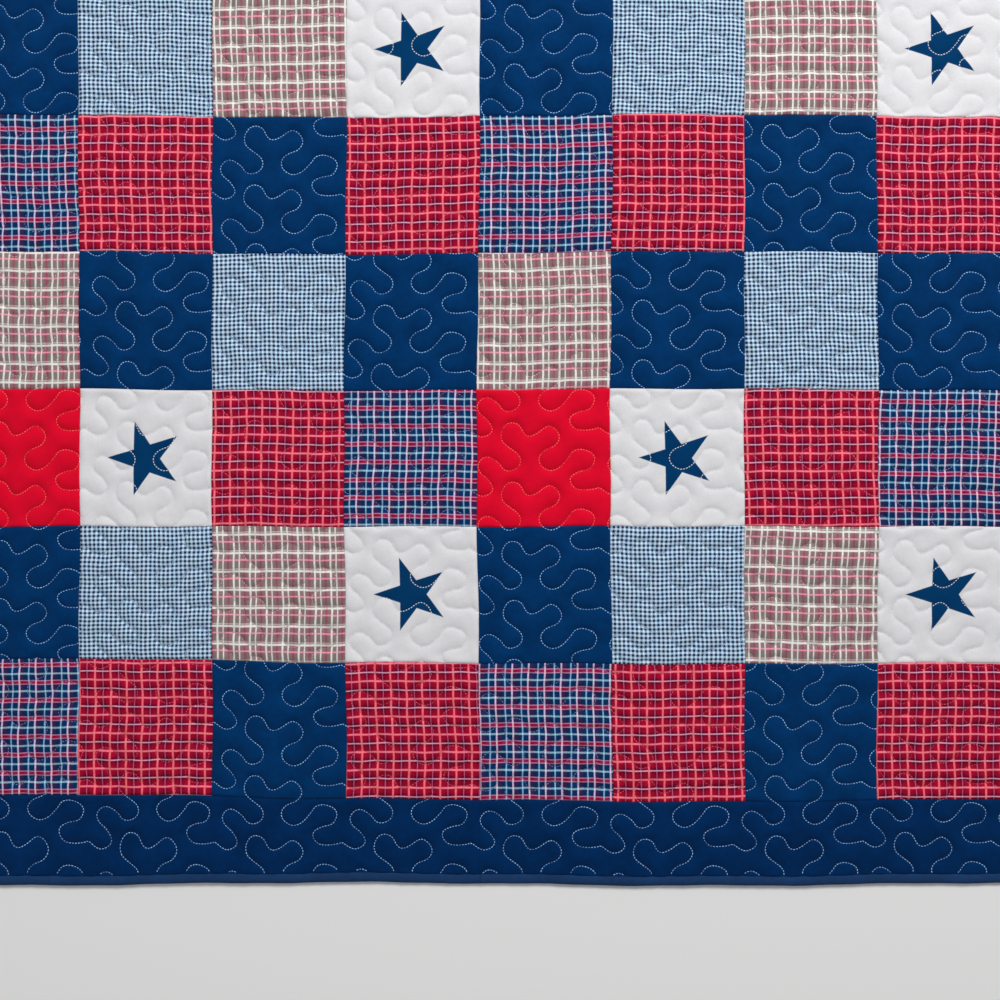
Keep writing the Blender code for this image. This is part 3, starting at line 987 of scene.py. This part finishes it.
def lay_weave(mesh, plan_x, plan_y, middle, cut):
    """Gives a cut the coordinates of the cloth that it came from and, round a star's middle, the star's."""
    turn, start_x, start_y = cut
    pull_x = plan_x + PULL[0] * np.sin(61 * plan_y + 300 * start_x)
    pull_x += PULL[1] * np.sin(143 * plan_y + 37 * plan_x)
    pull_y = plan_y + PULL[0] * np.sin(53 * plan_x + 300 * start_y)
    pull_y += PULL[1] * np.sin(151 * plan_x - 41 * plan_y)
    cloth_x = pull_x * math.cos(turn) - pull_y * math.sin(turn) + start_x
    cloth_y = pull_x * math.sin(turn) + pull_y * math.cos(turn) + start_y
    maps = {"cloth": (cloth_x, cloth_y)}
    if middle:
        maps["star"] = (plan_x - middle[0], plan_y - middle[1])
    corner_of = np.empty(len(mesh.loops), np.int32)
    mesh.loops.foreach_get("vertex_index", corner_of)
    for name, places in maps.items():
        layer = mesh.uv_layers.new(name=name)
        layer.data.foreach_set("uv", np.column_stack(places)[corner_of].ravel())


def cloth_piece(name, bounds, kind, middle=None, cut=(0.0, 0.0, 0.0)):
    """One flat cut of quilted cloth: a fine top face, creased at the stitches, over a plain underside."""
    points, distances, sewn, rim = cloth_plan(bounds)
    flat, _, faces, origins, _, _ = delaunay_2d_cdt(
        [Vector(point) for point in points.tolist()], sewn, [list(range(rim))], INSIDE_ONLY, MERGE_DISTANCE)
    plan_x, plan_y = np.array(flat).T
    away = np.array([distances[found[0]] if found else 0.0 for found in origins])
    x, y = placed(plan_x, plan_y)
    top = np.column_stack([x, y, cloth_height(plan_x, plan_y, away, kind)])
    place_of = {source: index for index, found in enumerate(origins) for source in found}
    ring = [place_of[index] for index in range(rim)]
    foot = top[ring] * (1, 1, 0)
    count = len(top)
    walls = [(ring[k], count + k, count + (k + 1) % rim, ring[(k + 1) % rim]) for k in range(rim)]
    under = [tuple(range(count + rim - 1, count - 1, -1))]
    mesh = bpy.data.meshes.new(name)
    mesh.from_pydata(np.concatenate([top, foot]).tolist(), [], list(faces) + walls + under)
    plan_x, plan_y = np.concatenate([plan_x, plan_x[ring]]), np.concatenate([plan_y, plan_y[ring]])
    lay_weave(mesh, plan_x, plan_y, middle, cut)
    plain = np.zeros(len(mesh.polygons), np.int32)
    plain[len(faces):] = 1
    mesh.polygons.foreach_set("material_index", plain)
    mesh.polygons.foreach_set("use_smooth", plain == 0)
    mesh.materials.append(fabric(kind))
    mesh.materials.append(fabric("border"))
    return add_piece(name, mesh)


class QUILT_OT_patches(bpy.types.Operator):
    """Makes every patch of the quilt's middle"""
    bl_idname = "quilt.patches"
    bl_label = "Patches"

    def execute(self, context):
        half_x, half_y = panel_half()
        width, height = sizes().patch_width, sizes().patch_height
        for row in range(PATCH_ROWS):
            for column in range(PATCH_COLUMNS):
                left = -half_x + column * width
                high = half_y - row * height
                middle = (left + width / 2, high - height / 2)
                kind = patch_kind(column, row)
                patch = cloth_piece(
                    f"patch_{row + 1}_{column + 1}", (left, left + width, high - height, high), kind,
                    middle if kind == "star" else None, cut_turn(column, row))
                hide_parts("patchwork")
        return {"FINISHED"}


class QUILT_OT_borders(bpy.types.Operator):
    """Makes the navy strips round the patches, each in two lengths"""
    bl_idname = "quilt.borders"
    bl_label = "Borders"

    def execute(self, context):
        panel_x, panel_y = panel_half()
        half_x, half_y = edge_half()
        strips = {
            "border_left": (-half_x, -panel_x, -panel_y, panel_y),
            "border_right": (panel_x, half_x, -panel_y, panel_y),
            "border_top": (-half_x, half_x, panel_y, half_y),
            "border_bottom": (-half_x, half_x, -half_y, -panel_y),
        }
        for name, (left, right, low, high) in strips.items():
            upright = high - low > right - left
            halves = (
                ("1", (left, right, low, 0) if upright else (left, 0, low, high)),
                ("2", (left, right, 0, high) if upright else (0, right, low, high)),
            )
            for suffix, bounds in halves:
                piece = cloth_piece(f"{name}_{suffix}", bounds, "border")
                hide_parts(name)
        return {"FINISHED"}


def binding_path(side, step):
    """One side of the cloth's edge from corner to corner: plan point, and the way out from it."""
    half_x, half_y = edge_half()
    radius = edge_radius()
    corners = ((half_x, -half_y), (half_x, half_y), (-half_x, half_y), (-half_x, -half_y))
    start, end = corners[side], corners[(side + 1) % 4]
    arc_steps = max(4, round(radius * math.pi / 4 / step))
    arcs = []
    for (x, y), first in ((start, -45), (end, 0)):
        centre = (x - math.copysign(radius, x), y - math.copysign(radius, y))
        arc = []
        for k in range(arc_steps + 1):
            angle = math.radians(90 * side + first + 45 * k / arc_steps)
            out = (math.cos(angle), math.sin(angle))
            arc.append((centre[0] + radius * out[0], centre[1] + radius * out[1], *out))
        arcs.append(arc)
    begin, finish = arcs[0][-1], arcs[1][0]
    straight = math.dist(begin[:2], finish[:2])
    count = max(1, round(straight / step))
    run = [
        (begin[0] + (finish[0] - begin[0]) * k / count, begin[1] + (finish[1] - begin[1]) * k / count,
         *begin[2:])
        for k in range(1, count)
    ]
    return np.array(arcs[0] + run + arcs[1])


def binding_rings(path):
    """Rings of points round the folded strip, one for each point of the path, and how far along each is."""
    width, height = sizes().binding_width, sizes().binding_height
    plan_x, plan_y = path[:, 0], path[:, 1]
    along = np.concatenate([[0], np.cumsum(np.hypot(np.diff(plan_x), np.diff(plan_y)))])
    pinch = 1 + BINDING_PINCHES[0] * np.sin(along * 260 + plan_x * 40)
    pinch = pinch + BINDING_PINCHES[1] * np.sin(along * 117 + 1.3)
    rings = []
    for out, up in BINDING_SECTION:
        reach = out * width * (1 + (BINDING_WAVER * np.sin(along * 83) if out > 0.5 else 0))
        x, y = placed(plan_x + path[:, 2] * reach, plan_y + path[:, 3] * reach)
        lift = (height * pinch + swell(plan_x, plan_y)) * up
        rings.append(np.column_stack([x, y, lift]))
    return np.stack(rings, axis=1), along


def binding_piece(name, rings, along):
    """One length of the folded strip, closed at both ends."""
    sides = rings.shape[1]
    bm = bmesh.new()
    grid = [[bm.verts.new(point) for point in ring] for ring in rings.tolist()]
    for near, far in zip(grid, grid[1:]):
        for k in range(sides):
            bm.faces.new((near[k], near[(k + 1) % sides], far[(k + 1) % sides], far[k]))
    bm.faces.new(grid[0])
    bm.faces.new(list(reversed(grid[-1])))
    bmesh.ops.recalc_face_normals(bm, faces=bm.faces)
    layer = bm.loops.layers.uv.new("cloth")
    number = {vertex: (ring, k) for ring, line in enumerate(grid) for k, vertex in enumerate(line)}
    for face in bm.faces:
        face.smooth = len(face.verts) == 4
        for loop in face.loops:
            ring, k = number[loop.vert]
            loop[layer].uv = (along[ring], k * BINDING_FACET)
    mesh = bpy.data.meshes.new(name)
    bm.to_mesh(mesh)
    bm.free()
    mesh.materials.append(fabric("binding"))
    return add_piece(name, mesh)


class QUILT_OT_binding(bpy.types.Operator):
    """Makes the folded strip round the quilt's edge"""
    bl_idname = "quilt.binding"
    bl_label = "Binding"

    def execute(self, context):
        for side, name in enumerate(("binding_right", "binding_top", "binding_left", "binding_bottom")):
            rings, along = binding_rings(binding_path(side, BINDING_STEP))
            # The long sides are cut in three and the short ones in two
            lengths = 3 if side % 2 == 0 else 2
            cuts = [round(k * (len(rings) - 1) / lengths) for k in range(lengths + 1)]
            for k in range(lengths):
                run = slice(cuts[k], cuts[k + 1] + 1)
                piece = binding_piece(f"{name}_{k + 1}", rings[run], along[run])
                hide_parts(name)
        return {"FINISHED"}


def stitch_mesh(name, starts, ends, tints):
    """Many short stitches as one mesh: each is a slim low mound, open only where it meets the cloth."""
    # The thread is about three times as wide as real quilting thread, which is too fine to show
    half = sizes().thread_width / 2
    way = ends - starts
    length = np.linalg.norm(way, axis=1, keepdims=True)
    beside = np.column_stack([-way[:, 1], way[:, 0], np.zeros(len(way))]) / length * half
    up = np.array([0, 0, half * 1.1])
    corners = (starts - beside, ends - beside, ends + beside, starts + beside, (starts + ends) / 2 + up)
    points = np.stack(corners, axis=1)
    template = np.array(((0, 1, 4), (1, 2, 4), (2, 3, 4), (3, 0, 4)))
    faces = (template + len(corners) * np.arange(len(starts))[:, None, None]).reshape(-1, 3)
    mesh = bpy.data.meshes.new(name)
    mesh.from_pydata(points.reshape(-1, 3).tolist(), [], faces.tolist())
    tint = mesh.color_attributes.new("tint", "FLOAT_COLOR", "POINT")
    tint.data.foreach_set("color", np.repeat(tints, len(corners), axis=0).ravel())
    mesh.shade_smooth()
    return mesh


def thread_material():
    """Fine twisted polyester sewing thread."""
    # To the eye: small pale beads, smoother than the cloth, tinted by what they lie on
    material, tree, shader = cotton("fine_polyester_thread", roughness=0.55, sheen=0.0)
    tint = node(tree, "Attribute", attribute_name="tint")
    tree.links.new(tint.outputs["Color"], shader.inputs["Base Color"])
    return material


def thread_kinds(x, y):
    """Which cloth lies under each place of the plan."""
    panel_x, panel_y = panel_half()
    column = np.floor((x + panel_x) / sizes().patch_width).astype(int)
    row = np.floor((panel_y - y) / sizes().patch_height).astype(int)
    return [patch_kind(c, r) if 0 <= c < PATCH_COLUMNS and 0 <= r < PATCH_ROWS else "navy"
            for c, r in zip(column, row)]


class QUILT_OT_quilting(bpy.types.Operator):
    """Sews the quilting rows over the whole cloth"""
    bl_idname = "quilt.quilting"
    bl_label = "Quilting thread"

    def execute(self, context):
        half_x, half_y = edge_half()
        bounds = (-half_x, half_x, -half_y, half_y)
        part = sizes().stitch_length / sizes().stitch_pitch
        starts, ends, kinds, plans = [], [], [], []
        for x, y in sewn_rows():
            near = np.column_stack([x[:-1], y[:-1]])
            far = near + (np.column_stack([x[1:], y[1:]]) - near) * part
            inside = np.minimum(depth_inside(*near.T, bounds), depth_inside(*far.T, bounds)) > BINDING_MARGIN
            near, far = near[inside], far[inside]
            if not len(near):
                continue
            plans.append((near + far) / 2)
            kinds += thread_kinds(*((near + far) / 2).T)
            for ground, found in ((near, starts), (far, ends)):
                height = cloth_height(*ground.T, np.zeros(len(ground)))
                found.append(np.column_stack([*placed(*ground.T), height + THREAD_LIFT]))
        starts, ends, plans = np.concatenate(starts), np.concatenate(ends), np.concatenate(plans)
        tints = np.array([linear(THREAD_TINTS[kind]) for kind in kinds])
        x, y = plans.T
        depth = TINT_BY_STITCH * np.sin(np.arange(len(tints)) * 2.399)
        depth += TINT_BY_PLACE * np.sin(131 * x + 47 * y) * np.sin(113 * y - 59 * x)
        # On off-white cotton the thread hardly shows
        depth[np.array(kinds) == "star"] *= TINT_ON_STAR
        tints[:, :3] *= (1 + depth)[:, None]
        tints = np.clip(tints, 0, 1)
        material = thread_material()
        # Two by three pieces, so that none has too many triangles
        for column in range(2):
            for row in range(3):
                chosen = (x >= 0) == bool(column)
                chosen &= np.clip(np.floor((y + half_y) / (2 * half_y / 3)), 0, 2) == row
                name = f"quilting_thread_{row + 1}_{column + 1}"
                mesh = stitch_mesh(name, starts[chosen], ends[chosen], tints[chosen])
                mesh.materials.append(material)
                thread = add_piece(name, mesh)
        return {"FINISHED"}


class QUILT_OT_stage(bpy.types.Operator):
    """Sets the floor, the soft lights and the camera"""
    bl_idname = "quilt.stage"
    bl_label = "Floor, lights and camera"

    def execute(self, context):
        scene = context.scene
        bpy.ops.object.select_all(action="DESELECT")
        bpy.ops.mesh.primitive_plane_add(size=FLOOR_SIZE, location=(0, 0, FLOOR_HEIGHT))
        floor = bpy.context.object
        floor.name = "floor"
        # Matt paint on board. To the eye: an even off-white that shows only the quilt's soft shadow
        paint = bpy.data.materials.new("pale_matt_floor")
        paint.use_nodes = True
        shader = paint.node_tree.nodes["Principled BSDF"]
        shader.inputs["Base Color"].default_value = linear("#f1f0ee")
        shader.inputs["Roughness"].default_value = 0.9
        floor.data.materials.append(paint)

        world = bpy.data.worlds.new("soft_room_light")
        world.use_nodes = True
        background = world.node_tree.nodes["Background"]
        background.inputs["Color"].default_value = linear("#f4f6fb")
        background.inputs["Strength"].default_value = 0.30
        scene.world = world
        for name, place, size, power in SOFTBOXES:
            light = bpy.data.lights.new(name, "AREA")
            light.size = size
            light.energy = power
            lamp = bpy.data.objects.new(name, light)
            lamp.location = place
            aim = Vector((CAMERA_TARGET[0], CAMERA_TARGET[1], 0)) - Vector(place)
            lamp.rotation_euler = aim.to_track_quat("-Z", "Y").to_euler()
            scene.collection.objects.link(lamp)

        camera_data = bpy.data.cameras.new("camera_above")
        camera_data.lens = LENS_MM
        camera_data.sensor_width = SENSOR_MM
        camera = bpy.data.objects.new("camera_above", camera_data)
        camera.location = (*CAMERA_TARGET, FIELD_WIDTH * LENS_MM / SENSOR_MM)
        scene.collection.objects.link(camera)
        scene.camera = camera
        scene.view_settings.view_transform = "Standard"
        return {"FINISHED"}


class QUILT_PT_panel(bpy.types.Panel):
    bl_idname = "QUILT_PT_panel"
    bl_label = "Star quilt"
    bl_space_type = "VIEW_3D"
    bl_region_type = "UI"
    bl_category = "Quilt"

    def draw(self, context):
        for operator in OPERATORS:
            self.layout.operator(operator.bl_idname)
        for group in (context.scene.quilt_sizes, context.scene.quilt_colours):
            for name in group.__annotations__:
                self.layout.prop(group, name)


OPERATORS = (QUILT_OT_patches, QUILT_OT_borders, QUILT_OT_binding, QUILT_OT_quilting, QUILT_OT_stage)
CLASSES = (QuiltSizes, QuiltColours, *OPERATORS, QUILT_PT_panel)


def register():
    """Adds the quilt's classes, sizes and colours."""
    for cls in CLASSES:
        bpy.utils.register_class(cls)
    bpy.types.Scene.quilt_sizes = bpy.props.PointerProperty(type=QuiltSizes)
    bpy.types.Scene.quilt_colours = bpy.props.PointerProperty(type=QuiltColours)


def unregister():
    """Takes them away again."""
    del bpy.types.Scene.quilt_sizes
    del bpy.types.Scene.quilt_colours
    for cls in reversed(CLASSES):
        bpy.utils.unregister_class(cls)


def main():
    """Makes the whole quilt and its stage."""
    register()
    bpy.ops.quilt.patches()
    bpy.ops.quilt.borders()
    bpy.ops.quilt.binding()
    bpy.ops.quilt.quilting()
    bpy.ops.quilt.stage()


if __name__ == "__main__":
    main()
